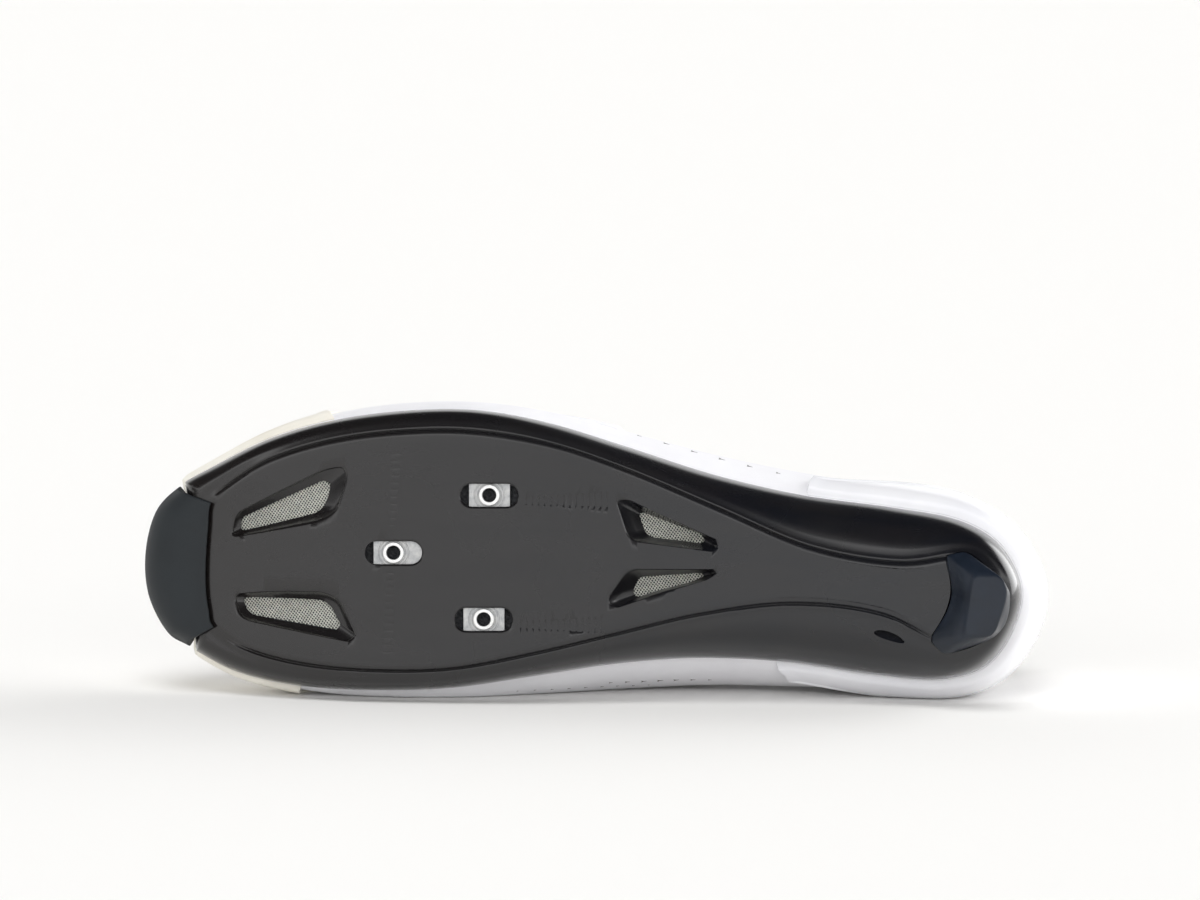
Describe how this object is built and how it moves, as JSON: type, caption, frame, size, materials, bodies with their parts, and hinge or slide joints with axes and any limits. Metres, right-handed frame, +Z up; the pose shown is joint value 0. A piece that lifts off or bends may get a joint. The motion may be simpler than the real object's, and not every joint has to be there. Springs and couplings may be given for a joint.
{
  "type": "cycling shoe",
  "caption": "Low white road cycling shoe with a stiff vented sole, sliding cleat nuts, rubber toe bumper and heel pad, lying on its inner side",
  "frame": {"origin": "middle of the bounding box on the floor that the shoe lies on", "axes": "+X from toe to heel, -Y is where the sole looks, +Z up; the lateral side is up and the top of the foot is towards +Y"},
  "size_m": [0.2796, 0.116, 0.0905],
  "materials": {
    "sole_plate": "black clear-coated carbon lay-up, glossy",
    "toe_bumper": "matte dark grey rubber",
    "heel_pad": "matte dark blue-grey rubber",
    "insole": "thin dark felt, guessed",
    "upper": "white synthetic leather, semi-matte",
    "toe_guard": "cream rubbery film",
    "heel_cup": "glossy white moulding",
    "tongue": "white padded fabric",
    "strap_instep": "white hook-and-loop strap, guessed",
    "strap_fore": "white hook-and-loop strap, guessed",
    "vent_mesh_front_lateral": "grey woven mesh",
    "vent_mesh_front_medial": "grey woven mesh",
    "vent_mesh_mid_lateral": "grey woven mesh",
    "vent_mesh_mid_medial": "grey woven mesh",
    "cleat_nut_front": "turned bright steel",
    "cleat_nut_rear_lateral": "turned bright steel",
    "cleat_nut_rear_medial": "turned bright steel"
  },
  "bodies": {
    "shoe": {"sole_plate": "sole_plate", "toe_bumper": "toe_bumper", "heel_pad": "heel_pad", "insole": "insole", "upper": "upper", "toe_guard": "toe_guard", "heel_cup": "heel_cup", "tongue": "tongue", "strap_instep": "strap_instep", "strap_fore": "strap_fore", "vent_mesh_front_lateral": "vent_mesh_front_lateral", "vent_mesh_front_medial": "vent_mesh_front_medial", "vent_mesh_mid_lateral": "vent_mesh_mid_lateral", "vent_mesh_mid_medial": "vent_mesh_mid_medial"},
    "nut_front": {"cleat_nut_front": "cleat_nut_front"},
    "nut_rear_lateral": {"cleat_nut_rear_lateral": "cleat_nut_rear_lateral"},
    "nut_rear_medial": {"cleat_nut_rear_medial": "cleat_nut_rear_medial"}
  },
  "joints": [
    {"name": "nut_front_slide", "type": "slide", "parent": "shoe", "child": "nut_front", "axis": [0.9998, 0.0069, 0.019], "range_m": [-0.0045, 0.0045]},
    {"name": "nut_rear_lateral_slide", "type": "slide", "parent": "shoe", "child": "nut_rear_lateral", "axis": [0.9998, 0.0069, 0.019], "range_m": [-0.0045, 0.0045]},
    {"name": "nut_rear_medial_slide", "type": "slide", "parent": "shoe", "child": "nut_rear_medial", "axis": [0.9998, 0.0069, 0.019], "range_m": [-0.0045, 0.0045]}
  ]
}
